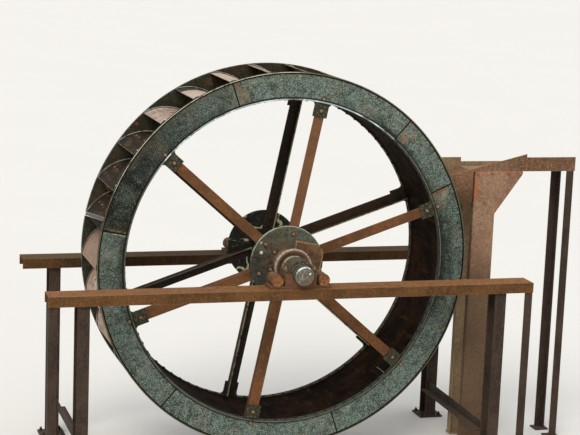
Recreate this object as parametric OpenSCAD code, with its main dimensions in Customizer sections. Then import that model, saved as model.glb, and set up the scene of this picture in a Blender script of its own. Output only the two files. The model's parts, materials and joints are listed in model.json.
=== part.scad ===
// Breastshot water wheel of cast iron and steel on a steel beam frame, with the end of its launder.
// The origin is on the ground, under the middle of the whole outline. +X runs along the frame towards
// the launder, +Y runs from the near side to the far side, and +Z is up.

/* [Rim] */
// Radius of the wheel over the outer edge of the rim
wheel_r = 1525; // [1400:5:1600]
// Radial depth of the shroud rings
shroud_depth = 221; // [200:1:240]
// Clear width between the two shroud plates, which is the width of a bucket
bucket_w = 680; // [500:5:800]
// Thickness of the cast shroud plate
shroud_t = 12; // [8:1:16]
// Width of the raised bead round the outer edge
outer_bead_w = 14; // [8:1:20]
// Height of the outer bead above the plate
outer_bead_h = 6; // [3:1:8]
// Width of the raised bead round the inner edge
inner_bead_w = 16; // [8:1:20]
// Height of the inner bead above the plate
inner_bead_h = 9; // [4:1:14]
// Width of the inner flange that the sole plates lie on
sole_flange_w = 32; // [20:1:45]
// Thickness of that flange
sole_flange_t = 10; // [6:1:14]
// Thickness of the rolled sole plates
sole_t = 6; // [4:1:10]
// Angle of a joint between two shroud segments when the wheel is at rest
joint_angle = 49.1; // [40:0.1:58]
// Open width of a joint between two castings or two sole plates
joint_gap = 2; // [1:0.5:4]
// Clearance between the inner flange and the sole plates that lie round it
sole_gap = 0.9; // [0.8:0.05:1]

/* [Buckets] */
// Number of buckets on each of the six rim segments
buckets_per_segment = 5; // [4:1:6]
// Thickness of a bucket plate
bucket_t = 5; // [3:1:8]
// Radius that a bucket plate is rolled to, at its hollow side
bucket_roll_r = 345; // [320:1:380]
// Angle between a bucket plate and the rim's tangent at the lip
lip_angle = 13; // [8:1:18]
// How far the cast rib beside a bucket plate stands in from the shroud
rib_w = 35; // [25:1:45]
// Thickness of the cast rib
rib_t = 10; // [6:1:14]

/* [Arms] */
// Width of an arm's face
arm_w = 80; // [60:1:90]
// Thickness of an arm's face
arm_t = 10; // [6:1:12]
// Depth of an arm's flange, the face's thickness included
arm_flange = 68; // [50:1:90]
// Thickness of an arm's flange
arm_flange_t = 9; // [6:1:12]
// Radius at which the arms start, beside the hub's boss
arm_start_r = 104; // [100:1:112]
// How far an arm's end reaches over the shroud
arm_reach = 68; // [50:1:75]
// Clearance round an arm where it passes the sole and its flange
arm_clear = 2; // [1:0.5:4]
// Width of the lug that an arm is bolted to
lug_w = 118; // [110:1:140]
// How far the lug reaches in from the shroud
lug_len = 116; // [90:1:150]
// Radius of the fillet between a lug and the shroud
lug_fillet = 34; // [20:1:50]

/* [Hubs and shaft] */
// Radius of the hub discs
hub_r = 300; // [270:1:330]
// Thickness of the hub discs
hub_t = 18; // [12:1:24]
// Radius of the boss behind a hub disc
boss_r = 96; // [93:1:98]
// Length of that boss, measured from the disc
boss_len = 70; // [40:1:100]
// Width of the open slot between the two halves of a hub
hub_slot = 5; // [3:1:8]
// Radius of the shaft
shaft_r = 78; // [70:1:84]
// How far the shaft's ends stand out past the bearings
stub_out = 103; // [90:1:140]
// Radius of the shaft's free ends, outside the bearings
stub_r = 76; // [66:1:77]
// How far past a bearing the full radius of the shaft runs
stub_step = 15; // [8:1:25]
// Size of the bevel at the shaft's ends
shaft_bevel = 14; // [6:1:20]
// Radius of the collars
collar_r = 152; // [140:1:160]
// Length of a collar
collar_len = 150; // [120:1:160]
// Width of a collar's rim
collar_rim = 22; // [14:1:30]
// Depth of the hollow in a collar's face
collar_dish = 26; // [10:1:40]
// Radius of the small ring in front of a collar
ring_r = 100; // [92:1:108]
// Length of the small ring
ring_len = 14; // [8:1:18]
// Bevel round the collar's rim
collar_edge = 4; // [2:1:6]
// How much thinner the collar's body is than its rim
collar_neck = 38; // [20:1:40]
// Thickness of the clamp plate between the near disc and its collar
clamp_t = 38; // [24:1:50]
// How far the clamp plate reaches out to its rounded side
clamp_reach = 272; // [250:1:276]
// Distance from the shaft's axis at which the tall part of the clamp plate starts
clamp_start = 30; // [20:1:50]
// Height of the clamp plate above and below the shaft's axis
clamp_half_h = 194; // [170:1:196]
// Radius of the clamp plate's rounded corners
clamp_corner = 92; // [70:1:110]
// Angle by which the clamp plate is turned on the shaft, with its rounded side down
clamp_turn = 10; // [0:1:20]
// Gap between two pieces of the wheel that are wedged or keyed together
seat_gap = 0.3; // [0.2:0.1:0.5]

/* [Frame] */
// Height of the rim's lowest point above the ground
ground_clear = 125; // [105:1:375]
// How far the beams run out past the middle of the legs
beam_overhang = 268; // [200:1:400]
// Width of a beam across its web, which lies on top
beam_w = 203; // [180:1:230]
// Height of a beam's flanges
beam_h = 80; // [70:1:110]
// Thickness of a beam's web
beam_web_t = 9; // [6:1:12]
// Thickness of a beam's flanges
beam_flange_t = 12; // [8:1:16]
// Gap between the ring on the near collar and the near bearing
bearing_gap = 45; // [20:1:60]
// Height of the shaft's axis above the top of the beams
axle_over_beam = 122; // [116:1:150]
// How far the middle of a leg lies outside the edge of the bracket legs
leg_beyond = 24; // [0:1:30]
// Width of a leg's flanges
leg_w = 93; // [80:1:110]
// Depth of a leg over its flanges
leg_d = 150; // [120:1:160]
// Thickness of a leg's flanges and web
leg_t = 9; // [6:1:12]
// Width of the angle posts under the ends of the near beam and under the end of the launder
post_w = 65; // [50:1:75]
// Thickness of the angle posts
post_t = 8; // [5:1:10]
// How far inside the launder's end its posts stand
post_inset = 10; // [5:1:20]
// Side of the square base plate under a leg
foot_w = 210; // [180:1:260]
// Side of the square base plate under an angle post
post_foot_w = 120; // [100:1:150]
// Thickness of the base plates
foot_t = 12; // [8:1:16]
// Side of the angles that tie near and far legs together
tie_w = 75; // [60:1:90]
// Thickness of those angles
tie_t = 8; // [6:1:10]
// Height of the ties above the ground
tie_z = 250; // [150:1:400]

/* [Bearings] */
// Length of a bearing's base plate
base_len = 490; // [420:1:520]
// Width of a bearing along the shaft
bearing_w = 150; // [120:1:170]
// Thickness of the base plate
base_t = 26; // [18:1:30]
// Half width of the pedestal block
pedestal_half = 128; // [120:1:145]
// Thickness of the bearing's cap over the shaft
cap_t = 26; // [18:1:34]
// Length of the cap's ears beyond its shell
cap_ear = 44; // [36:1:44]
// Thickness of the ears
cap_ear_t = 24; // [16:1:30]
// Running clearance of the shaft in its bearings
journal_clear = 0.05; // [0.02:0.01:0.1]
// How far the cap stands back from the pedestal's faces
cap_inset = 10; // [5:1:15]
// Radius of the round boss at each end of a base plate
end_boss_r = 48; // [35:1:50]
// How deep the round bosses sink into the base plate
end_boss_sink = 8; // [4:1:12]
// Distance of the round bosses from the shaft's axis
end_boss_x = 188; // [182:1:195]

/* [Launder] */
// Clearance between the rim and the launder's nose
nose_clear = 20; // [10:1:40]
// Outer width of the launder
launder_w = 300; // [240:1:400]
// Thickness of the launder's plates
launder_t = 5; // [3:1:8]
// Height of the floor's underside above the shaft's axis
floor_h = 687; // [640:1:720]
// Length of the launder outside its cheeks
launder_len = 922; // [800:1:1050]
// How far the nose's cheeks reach out past the rim
cheek_beyond = 125; // [115:1:160]
// How far the cheeks reach down under the floor
cheek_drop = 262; // [210:1:300]
// Height of the near side at the cheek, from the floor's underside
near_low_wall = 26; // [15:1:40]
// Height of the near side's peak, from the floor's underside
near_high_wall = 146; // [110:1:170]
// Distance of that peak from the cheek's edge
peak_beyond = 476; // [440:1:520]
// Height of the trough's near side
trough_wall = 118; // [90:1:140]
// Height of the far side
far_wall = 43; // [35:1:75]
// Height of the far cheek
far_cheek_wall = 79; // [60:1:110]
// How far the high part of the far cheek runs on past its edge
far_cheek_step = 6; // [2:1:20]
// How far the apron falls from the floor to the rim
apron_drop = 85; // [60:1:110]
// Gap between the cheeks' edge and the bracket legs' upright edge
bracket_gap = 18; // [10:1:30]
// Width of a bracket leg's head under the launder
bracket_head = 428; // [380:1:450]
// Width of a bracket leg from its throat down
bracket_foot = 190; // [140:1:220]
// How far a bracket leg's throat lies under the floor
throat_drop = 357; // [290:1:400]
// Height of the upright end of a bracket leg's head
bracket_lip = 24; // [10:1:40]
// Width of a bracket leg's edge flanges
bracket_flange = 60; // [40:1:70]
// Thickness of a bracket leg's plate and flanges
bracket_t = 7; // [5:1:10]
// How far a bracket leg's base plate stands out round it
bracket_foot_edge = 20; // [10:1:40]

/* [Hidden] */

// Number of segments in each ring, which is also the number of arms on each side
segments = 6;
segment_angle = 360 / segments;
bucket_step = segment_angle / buckets_per_segment;
round_fn = 96;
drum_fn = 180;

// Colours as they show on the real object
iron_colour = "#3d4845";
far_iron_colour = "#333a36";
bucket_colour = "#a08c80";
sole_colour = "#3b2d26";
arm_colour = "#70482f";
far_arm_colour = "#33261f";
hub_colour = "#3d4a45";
collar_colour = "#6b4f3a";
shaft_colour = "#6f6b62";
beam_colour = "#5f401f";
leg_colour = "#3d2f2c";
bearing_colour = "#5a4030";
launder_colour = "#735749";

// Radii of the rim
shroud_in_r = wheel_r - shroud_depth;
flange_out_r = shroud_in_r + sole_flange_t;
sole_in_r = flange_out_r + sole_gap;
sole_out_r = sole_in_r + sole_t;
arm_end_r = shroud_in_r + arm_reach;
lug_in_r = shroud_in_r - lug_len;

// Distances from the wheel's middle plane, along the shaft
shroud_in_y = bucket_w / 2;
shroud_out_y = shroud_in_y + shroud_t;
hub_out_y = shroud_in_y + hub_t;
collar_out_y = hub_out_y + clamp_t + collar_len;
far_collar_len = clamp_t + collar_len;
beam_y = collar_out_y + ring_len + bearing_gap + bearing_w / 2;
stub_start = beam_y + bearing_w / 2 + stub_step;
shaft_len = 2 * (beam_y + bearing_w / 2 + stub_out);

// Centre of a bucket's curve, from the wheel's axis, with the lip on the x axis
bucket_out_r = bucket_roll_r + bucket_t;
rib_in_r = bucket_out_r + seat_gap;
bucket_foot_r = sole_out_r + seat_gap;
lip_r = wheel_r - 1;
curve_x = lip_r - bucket_out_r * cos(lip_angle);
curve_y = bucket_out_r * sin(lip_angle);

// Angles of the arms: one at the middle of each segment
arm_angle = joint_angle - segment_angle / 2;
// The sole's joints lie two buckets past those of the rim, so that each sole plate bridges a rim joint
sole_angle = joint_angle + 2 * bucket_step;

// Distances from the shaft's axis along the frame, each one from the last
cheek_x = wheel_r + cheek_beyond;
bracket_x = cheek_x + bracket_gap;
leg_x = bracket_x + leg_beyond;
beam_len = 2 * (leg_x + beam_overhang);
peak_x = cheek_x + peak_beyond;
launder_end = cheek_x + launder_len;

// The whole outline runs from the base plate of the left end post to that of the launder's posts
axle_x = (beam_len / 2 - launder_end + post_inset) / 2;
axle_h = wheel_r + ground_clear;
beam_top = axle_h - axle_over_beam;
post_top = beam_top - beam_web_t;
launder_half = launder_w / 2;
nose_r = wheel_r + nose_clear;
// The sides of the nose are drawn from inside the rim, which is then cut away with its clearance
nose_x = wheel_r - shroud_depth;
bracket_top = floor_h - bracket_t;
apron_low = floor_h - apron_drop;
cheek_low = floor_h - cheek_drop;
throat_h = floor_h - throat_drop;
// How much a piece that is joined to another in one casting runs into it
merge = 6;

// Puts a shape that is drawn on the wheel's face, with z towards the near side, where the wheel is
module at_axle() {
    translate([axle_x, 0, axle_h])
        rotate([90, 0, 0])
            children();
}

// Puts a face drawn in x and z, as an x and y outline, upright at a distance y from the middle plane
module upright(y, thickness) {
    translate([axle_x, y + thickness, axle_h])
        rotate([90, 0, 0])
            linear_extrude(thickness)
                children();
}

// A flat ring sector, from one radius to another, symmetrical about the x axis
module sector(in_r, out_r, half_angle, facets = round_fn) {
    reach = out_r / cos(half_angle) + 10;
    intersection() {
        difference() {
            circle(r = out_r, $fn = facets);
            circle(r = in_r, $fn = facets);
        }
        polygon([
            [0, 0],
            [reach * cos(half_angle), -reach * sin(half_angle)],
            [reach * cos(half_angle), reach * sin(half_angle)]
        ]);
    }
}

// A curved strip along a bucket's profile, from the rim down to the sole, with the lip on the x axis
module bucket_strip(in_r, out_r, stop_r) {
    intersection() {
        difference() {
            translate([curve_x, curve_y])
                circle(r = out_r, $fn = round_fn);
            translate([curve_x, curve_y])
                circle(r = in_r, $fn = round_fn);
            circle(r = stop_r, $fn = round_fn);
        }
        polygon([
            [curve_x, curve_y],
            [curve_x + 2 * out_r * cos(lip_angle), curve_y - 2 * out_r * sin(lip_angle)],
            [curve_x + 2 * out_r, curve_y - 3 * out_r],
            [curve_x, curve_y - 2 * out_r]
        ]);
    }
}

// The lug of a shroud segment, on the x axis, with a hollow fillet on each side
module lug_outline() {
    block_half = lug_w / 2 + lug_fillet;
    difference() {
        union() {
            translate([lug_in_r, -lug_w / 2])
                square([lug_len + merge, lug_w]);
            translate([shroud_in_r - lug_fillet, -block_half])
                square([lug_fillet + merge, 2 * block_half]);
        }
        for (side = [-1, 1])
            translate([shroud_in_r - lug_fillet, side * block_half])
                circle(r = lug_fillet, $fn = 48);
    }
}

// One cast segment of a shroud ring, drawn for the near side with its middle on the x axis
module shroud_segment() {
    half = segment_angle / 2 - joint_gap / 2 / wheel_r * 180 / PI;
    difference() {
        union() {
            translate([0, 0, shroud_in_y])
                linear_extrude(shroud_t)
                    union() {
                        sector(shroud_in_r, wheel_r, half);
                        lug_outline();
                    }
            translate([0, 0, shroud_out_y - 1])
                linear_extrude(outer_bead_h + 1)
                    sector(wheel_r - outer_bead_w, wheel_r, half);
            translate([0, 0, shroud_out_y - 1])
                linear_extrude(inner_bead_h + 1)
                    sector(shroud_in_r, shroud_in_r + inner_bead_w, half);
            translate([0, 0, shroud_in_y - sole_flange_w])
                linear_extrude(sole_flange_w + 1)
                    sector(shroud_in_r, flange_out_r, half);
            for (k = [0 : buckets_per_segment - 1])
                translate([0, 0, shroud_in_y - rib_w])
                    linear_extrude(rib_w + 1)
                        intersection() {
                            rotate(segment_angle / 2 - k * bucket_step)
                                bucket_strip(rib_in_r, bucket_out_r + rib_t, bucket_foot_r);
                            sector(shroud_in_r, wheel_r, half);
                        }
        }
        // The way for the arm through the flange
        translate([shroud_in_r - 20, -arm_w / 2 - arm_clear, shroud_in_y - sole_flange_w - 1])
            cube([sole_flange_t + 40, arm_w + 2 * arm_clear, sole_flange_w + 1]);
    }
}

module near_shroud(k) {
    color(iron_colour)
        at_axle()
            rotate([0, 0, arm_angle + k * segment_angle])
                shroud_segment();
}

// The far ring is the near one seen in a mirror, so that the ribs of both face each other
module far_shroud(k) {
    color(far_iron_colour)
        at_axle()
            mirror([0, 0, 1])
                rotate([0, 0, arm_angle + k * segment_angle])
                    shroud_segment();
}

// The rolled bucket plates whose lips lie on one segment
module bucket_plates(k) {
    color(bucket_colour)
        at_axle()
            for (j = [0 : buckets_per_segment - 1])
                translate([0, 0, seat_gap - shroud_in_y])
                    rotate([0, 0, joint_angle + k * segment_angle - j * bucket_step])
                        linear_extrude(bucket_w - 2 * seat_gap)
                            bucket_strip(bucket_roll_r, bucket_out_r, bucket_foot_r);
}

// The drum of six rolled plates at the bottom of the buckets
module sole_plates() {
    half = segment_angle / 2 - joint_gap / 2 / sole_out_r * 180 / PI;
    notch_w = arm_w + 2 * arm_clear;
    notch_h = arm_t + arm_clear;
    color(sole_colour)
        at_axle()
            for (k = [0 : segments - 1])
                difference() {
                    translate([0, 0, seat_gap - shroud_in_y])
                        rotate([0, 0, sole_angle + (k + 0.5) * segment_angle])
                            linear_extrude(bucket_w - 2 * seat_gap)
                                sector(sole_in_r, sole_out_r, half, drum_fn);
                    for (arm = [0 : segments - 1])
                        for (side = [-1, 1])
                            rotate([0, 0, arm_angle + arm * segment_angle])
                                translate([
                                    sole_in_r - 30,
                                    -notch_w / 2,
                                    side * (shroud_in_y - notch_h / 2) - notch_h / 2
                                ])
                                    cube([sole_t + 60, notch_w, notch_h]);
                }
}

// One arm on the x axis, at the near side: a face against the lug and a flange along one edge
module arm() {
    flange_len = lug_in_r + lug_len - arm_clear - arm_start_r;
    union() {
        translate([arm_start_r, -arm_w / 2, shroud_in_y - arm_t])
            cube([arm_end_r - arm_start_r, arm_w, arm_t]);
        translate([arm_start_r, -arm_w / 2, shroud_in_y - arm_flange])
            cube([flange_len, arm_flange_t, arm_flange]);
    }
}

module near_arms() {
    color(arm_colour)
        at_axle()
            for (k = [0 : segments - 1])
                rotate([0, 0, arm_angle + k * segment_angle])
                    arm();
}

module far_arms() {
    color(far_arm_colour)
        at_axle()
            mirror([0, 0, 1])
                for (k = [0 : segments - 1])
                    rotate([0, 0, arm_angle + k * segment_angle])
                        arm();
}

// A hub disc with its boss, at the near side, in two halves with an open slot between them
module hub() {
    difference() {
        union() {
            translate([0, 0, shroud_in_y])
                cylinder(r = hub_r, h = hub_t, $fn = round_fn);
            translate([0, 0, shroud_in_y - boss_len])
                cylinder(r = boss_r, h = boss_len + 1, $fn = round_fn);
        }
        translate([0, 0, shroud_in_y - boss_len - 1])
            cylinder(r = shaft_r + seat_gap, h = boss_len + hub_t + 2, $fn = round_fn);
        rotate([0, 0, arm_angle + 2.5 * segment_angle])
            translate([-hub_r - 1, -hub_slot / 2, shroud_in_y - boss_len - 1])
                cube([2 * hub_r + 2, hub_slot, boss_len + hub_t + 2]);
    }
}

module near_hub() {
    color(hub_colour)
        at_axle()
            hub();
}

module far_hub() {
    color(hub_colour)
        at_axle()
            mirror([0, 0, 1])
                hub();
}

module shaft() {
    color(shaft_colour)
        at_axle()
            rotate_extrude($fn = round_fn)
                polygon([
                    [0, -shaft_len / 2],
                    [stub_r - shaft_bevel, -shaft_len / 2],
                    [stub_r, -shaft_len / 2 + shaft_bevel],
                    [stub_r, -stub_start],
                    [shaft_r, -stub_start],
                    [shaft_r, stub_start],
                    [stub_r, stub_start],
                    [stub_r, shaft_len / 2 - shaft_bevel],
                    [stub_r - shaft_bevel, shaft_len / 2],
                    [0, shaft_len / 2]
                ]);
}

// A thick plate keyed on the shaft between the near disc and its collar, with a tall part on one side.
// Its eye round the shaft is as wide as the collar's body.
module near_clamp() {
    flat_h = 2 * (clamp_half_h - clamp_corner);
    color(collar_colour)
        at_axle()
            rotate([0, 0, -clamp_turn])
                translate([0, 0, hub_out_y])
                    linear_extrude(clamp_t)
                        difference() {
                            union() {
                                circle(r = collar_r - collar_neck, $fn = round_fn);
                                translate([clamp_start, -clamp_half_h])
                                    square([clamp_reach - clamp_corner - clamp_start, 2 * clamp_half_h]);
                                translate([clamp_start, -flat_h / 2])
                                    square([clamp_reach - clamp_start, flat_h]);
                                for (side = [-1, 1])
                                    translate([clamp_reach - clamp_corner, side * flat_h / 2])
                                        circle(r = clamp_corner, $fn = 64);
                            }
                            circle(r = shaft_r + seat_gap, $fn = round_fn);
                        }
}

// Turned collar with a raised rim, a dished face and a small ring in front of it
module collar(start_y, length) {
    face_y = start_y + length;
    bore_r = shaft_r + seat_gap;
    color(collar_colour)
        at_axle()
            rotate_extrude($fn = round_fn)
                polygon([
                    [bore_r, start_y],
                    [collar_r - collar_neck, start_y],
                    [collar_r - collar_neck, face_y - collar_rim - collar_neck],
                    [collar_r, face_y - collar_rim],
                    [collar_r, face_y - collar_edge],
                    [collar_r - collar_edge, face_y],
                    [collar_r - collar_rim, face_y],
                    [ring_r + collar_edge, face_y - collar_dish],
                    [ring_r, face_y - collar_dish],
                    [ring_r, face_y + ring_len - collar_edge],
                    [ring_r - collar_edge, face_y + ring_len],
                    [bore_r, face_y + ring_len]
                ]);
}

module near_collar() {
    collar(hub_out_y + clamp_t, collar_len);
}

module far_collar() {
    mirror([0, 1, 0])
        collar(hub_out_y, far_collar_len);
}

// A channel with its web on top, along the x axis
module beam(y) {
    color(beam_colour)
        translate([axle_x - beam_len / 2, y, beam_top])
            rotate([90, 0, 90])
                linear_extrude(beam_len)
                    difference() {
                        translate([-beam_w / 2, -beam_h])
                            square([beam_w, beam_h]);
                        translate([-beam_w / 2 + beam_flange_t, -beam_h - 1])
                            square([beam_w - 2 * beam_flange_t, beam_h + 1 - beam_web_t]);
                    }
}

module near_beam() {
    beam(-beam_y);
}

module far_beam() {
    beam(beam_y);
}

// A leg of I section on its base plate, up to the web of its beam
module leg(x, y) {
    color(leg_colour)
        translate([axle_x + x, y, 0])
            union() {
                translate([0, 0, foot_t / 2])
                    cube([foot_w, foot_w, foot_t], center = true);
                linear_extrude(post_top)
                    union() {
                        for (side = [-1, 1])
                            translate([0, side * (leg_d - leg_t) / 2])
                                square([leg_w, leg_t], center = true);
                        square([leg_t, leg_d - leg_t], center = true);
                    }
            }
}

module near_left_leg() {
    leg(-leg_x, -beam_y);
}

module near_right_leg() {
    leg(leg_x, -beam_y);
}

module far_left_leg() {
    leg(-leg_x, beam_y);
}

module far_right_leg() {
    leg(leg_x, beam_y);
}

// An upright angle on a base plate, with its corner at the origin and its legs along +x and +y
module angle_post(height) {
    union() {
        translate([post_w / 2 - post_foot_w / 2, post_w / 2 - post_foot_w / 2, 0])
            cube([post_foot_w, post_foot_w, foot_t]);
        cube([post_w, post_t, height]);
        cube([post_t, post_w, height]);
    }
}

// The posts at both ends of the near beam stand inside its front flange
module near_end_posts() {
    color(leg_colour)
        for (side = [-1, 1])
            translate([axle_x, -beam_y - beam_w / 2 + beam_flange_t, 0])
                mirror([side > 0 ? 1 : 0, 0, 0])
                    translate([-beam_len / 2, 0, 0])
                        angle_post(post_top);
}

// An angle between the near leg and the far leg
module tie() {
    span = 2 * beam_y - leg_d;
    translate([0, span / 2, tie_z])
        rotate([90, 0, 0])
            linear_extrude(span)
                union() {
                    translate([-tie_t, 0])
                        square([tie_t, tie_w]);
                    translate([-tie_w, 0])
                        square([tie_w, tie_t]);
                }
}

module left_tie() {
    color(leg_colour)
        translate([axle_x - bracket_x, 0, 0])
            mirror([1, 0, 0])
                tie();
}

module right_tie() {
    color(leg_colour)
        translate([axle_x + bracket_x, 0, 0])
            tie();
}

// The lower half of a bearing: base plate, pedestal with a half round seat, and two round end bosses
module bearing(y) {
    base_top = base_t - axle_over_beam;
    color(bearing_colour)
        upright(y - bearing_w / 2, bearing_w)
            difference() {
                union() {
                    translate([-base_len / 2, -axle_over_beam])
                        square([base_len, base_t]);
                    translate([-pedestal_half, base_top - 1])
                        square([2 * pedestal_half, 1 - base_top]);
                    for (side = [-1, 1])
                        translate([side * end_boss_x, base_top + end_boss_r - end_boss_sink])
                            circle(r = end_boss_r, $fn = 64);
                }
                circle(r = shaft_r + journal_clear, $fn = round_fn);
            }
}

module near_bearing() {
    bearing(-beam_y);
}

module far_bearing() {
    bearing(beam_y);
}

// The cap: a half round shell with an ear on each side, on top of the pedestal
module bearing_cap(y) {
    shell_r = shaft_r + cap_t;
    ears_half = shaft_r + merge + cap_ear;
    color(bearing_colour)
        upright(y - bearing_w / 2 + cap_inset, bearing_w - 2 * cap_inset)
            difference() {
                union() {
                    circle(r = shell_r, $fn = round_fn);
                    translate([-ears_half, 0])
                        square([2 * ears_half, cap_ear_t]);
                }
                circle(r = shaft_r + journal_clear, $fn = round_fn);
                translate([-2 * shell_r, -2 * shell_r])
                    square([4 * shell_r, 2 * shell_r]);
            }
}

module near_bearing_cap() {
    bearing_cap(-beam_y);
}

module far_bearing_cap() {
    bearing_cap(beam_y);
}

module launder_floor() {
    color(launder_colour)
        translate([axle_x + cheek_x, launder_t - launder_half, axle_h + floor_h])
            cube([launder_end - cheek_x, launder_w - 2 * launder_t, launder_t]);
}

// The sloping plate between the cheeks, from the floor's edge down to the rim
module launder_apron() {
    end_x = sqrt(nose_r * nose_r - apron_low * apron_low) + launder_t + 3;
    color(launder_colour)
        upright(launder_t - launder_half, launder_w - 2 * launder_t)
            polygon([
                [end_x, apron_low],
                [cheek_x, floor_h],
                [cheek_x, floor_h + launder_t],
                [end_x, apron_low + launder_t]
            ]);
}

// One side of the launder's nose: a deep cheek whose edge follows the rim, and the wall behind it
module side_outline(points) {
    difference() {
        polygon(points);
        circle(r = nose_r, $fn = 360);
    }
}

module near_side() {
    slope = (near_high_wall - near_low_wall) / (peak_x - cheek_x);
    nose_top = floor_h + near_low_wall - (cheek_x - nose_x) * slope;
    color(launder_colour)
        upright(-launder_half, launder_t)
            side_outline([
                [nose_x, cheek_low],
                [cheek_x, cheek_low],
                [cheek_x, floor_h],
                [peak_x, floor_h],
                [peak_x, floor_h + near_high_wall],
                [nose_x, nose_top]
            ]);
}

module far_side() {
    high_end = cheek_x + far_cheek_step;
    color(launder_colour)
        upright(launder_half - launder_t, launder_t)
            side_outline([
                [nose_x, cheek_low],
                [cheek_x, cheek_low],
                [cheek_x, floor_h],
                [launder_end, floor_h],
                [launder_end, floor_h + far_wall],
                [high_end, floor_h + far_wall],
                [high_end, floor_h + far_cheek_wall],
                [nose_x, floor_h + far_cheek_wall]
            ]);
}

module near_trough_side() {
    color(launder_colour)
        upright(-launder_half, launder_t)
            translate([peak_x, floor_h])
                square([launder_end - peak_x, trough_wall]);
}

// A bracket leg under one side of the launder, drawn at the near side: plate, two edge flanges, foot
module bracket_leg() {
    head_end = bracket_x + bracket_head;
    throat_x = bracket_x + bracket_foot;
    union() {
        upright(-launder_half, bracket_t)
            polygon([
                [bracket_x, -axle_h],
                [throat_x, -axle_h],
                [throat_x, throat_h],
                [head_end, floor_h - bracket_lip],
                [head_end, floor_h],
                [bracket_x, floor_h]
            ]);
        upright(-launder_half, bracket_flange)
            translate([bracket_x, bracket_top])
                square([bracket_head, bracket_t]);
        upright(-launder_half, bracket_flange)
            translate([bracket_x, -axle_h])
                square([bracket_t, axle_h + floor_h]);
        translate([axle_x + bracket_x, -launder_half - bracket_foot_edge, 0])
            cube([
                bracket_foot + bracket_foot_edge,
                bracket_flange + 2 * bracket_foot_edge,
                foot_t
            ]);
    }
}

module near_bracket() {
    color(launder_colour)
        bracket_leg();
}

module far_bracket() {
    color(launder_colour)
        mirror([0, 1, 0])
            bracket_leg();
}

// The two angle posts under the launder's outer end
module launder_posts() {
    color(leg_colour)
        for (side = [0, 1])
            mirror([0, side, 0])
                translate([axle_x + launder_end - post_inset, -launder_half, 0])
                    mirror([1, 0, 0])
                        angle_post(axle_h + floor_h);
}

near_shroud(0);  // near_shroud_1
near_shroud(1);  // near_shroud_2
near_shroud(2);  // near_shroud_3
near_shroud(3);  // near_shroud_4
near_shroud(4);  // near_shroud_5
near_shroud(5);  // near_shroud_6
far_shroud(0);  // far_shroud_1
far_shroud(1);  // far_shroud_2
far_shroud(2);  // far_shroud_3
far_shroud(3);  // far_shroud_4
far_shroud(4);  // far_shroud_5
far_shroud(5);  // far_shroud_6
bucket_plates(0);  // buckets_1
bucket_plates(1);  // buckets_2
bucket_plates(2);  // buckets_3
bucket_plates(3);  // buckets_4
bucket_plates(4);  // buckets_5
bucket_plates(5);  // buckets_6
sole_plates();
near_arms();
far_arms();
near_hub();
far_hub();
shaft();
near_clamp();
near_collar();
far_collar();
near_beam();
far_beam();
near_left_leg();
near_right_leg();
far_left_leg();
far_right_leg();
near_end_posts();
left_tie();
right_tie();
near_bearing();
far_bearing();
near_bearing_cap();
far_bearing_cap();
launder_floor();
launder_apron();
near_side();
far_side();
near_trough_side();
near_bracket();
far_bracket();
launder_posts();
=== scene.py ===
# %% [markdown]
# # A breastshot water wheel
# The real wheel is made of cast iron rings and of rolled steel plates and arms, and it turns in two
# bearings on a frame of steel channels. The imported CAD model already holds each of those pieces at
# its true size. This lesson adds what a CAD model leaves out: the bolts, rivets and nuts that hold
# the pieces together, and the finish of iron that has long stood outdoors.

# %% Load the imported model
import json
import math
import random

import bmesh
import bpy
from mathutils import Matrix, Vector


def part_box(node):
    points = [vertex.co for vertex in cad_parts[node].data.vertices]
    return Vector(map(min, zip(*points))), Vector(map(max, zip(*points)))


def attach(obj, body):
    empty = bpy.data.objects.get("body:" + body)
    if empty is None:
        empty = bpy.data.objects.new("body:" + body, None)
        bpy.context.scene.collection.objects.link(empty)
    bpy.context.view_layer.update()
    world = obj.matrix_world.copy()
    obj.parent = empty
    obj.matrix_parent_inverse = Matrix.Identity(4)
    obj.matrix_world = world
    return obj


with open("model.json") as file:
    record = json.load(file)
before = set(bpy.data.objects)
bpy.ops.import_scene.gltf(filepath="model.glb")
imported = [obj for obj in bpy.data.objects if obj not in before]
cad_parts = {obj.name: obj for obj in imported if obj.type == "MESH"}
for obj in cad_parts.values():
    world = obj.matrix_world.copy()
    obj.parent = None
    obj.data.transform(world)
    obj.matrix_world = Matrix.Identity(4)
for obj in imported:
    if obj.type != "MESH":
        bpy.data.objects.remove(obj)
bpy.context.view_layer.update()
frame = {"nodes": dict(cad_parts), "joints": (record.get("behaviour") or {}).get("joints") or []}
nodes = frame["nodes"]
print("pieces in the model:", len(nodes))

# %% [markdown]
# The wheel's pieces are easiest to place by their angle and radius round the shaft. The joint that
# the wheel turns on says where the shaft's axis lies, so every new piece is placed from there. The
# other sizes repeat the ones in the CAD model, in metres.

# %% Sizes of the wheel
axle = Vector(frame["joints"][0]["pos_m"])
RIM_R = 1.525  # outer edge of the rings
RIM_IN_R = 1.304  # inner edge of the rings
RING_IN = 0.340  # inner face of a ring, from the wheel's middle plane
RING_OUT = 0.352  # outer face of a ring
DISC_OUT = 0.358  # outer face of a hub disc
ARM_IN = 0.330  # inner face of an arm
SHAFT_END = 0.858  # face of the shaft's end
ARMS = [19.1 + 60 * k for k in range(6)]
JOINT = 49.1  # angle of one joint between two ring castings
LIPS = [49.1 + 12 * k for k in range(30)]
LIP_R, LIP_ANGLE = 1.524, math.radians(13)
ROLL_R, PLATE_T = 0.345, 0.005  # hollow side of a bucket plate, and its thickness
ROLL_X = LIP_R - (ROLL_R + PLATE_T) * math.cos(LIP_ANGLE)
ROLL_Z = (ROLL_R + PLATE_T) * math.sin(LIP_ANGLE)
NEAR, FAR = -1, 1
print("the shaft's axis:", [round(v, 4) for v in axle])


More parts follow.
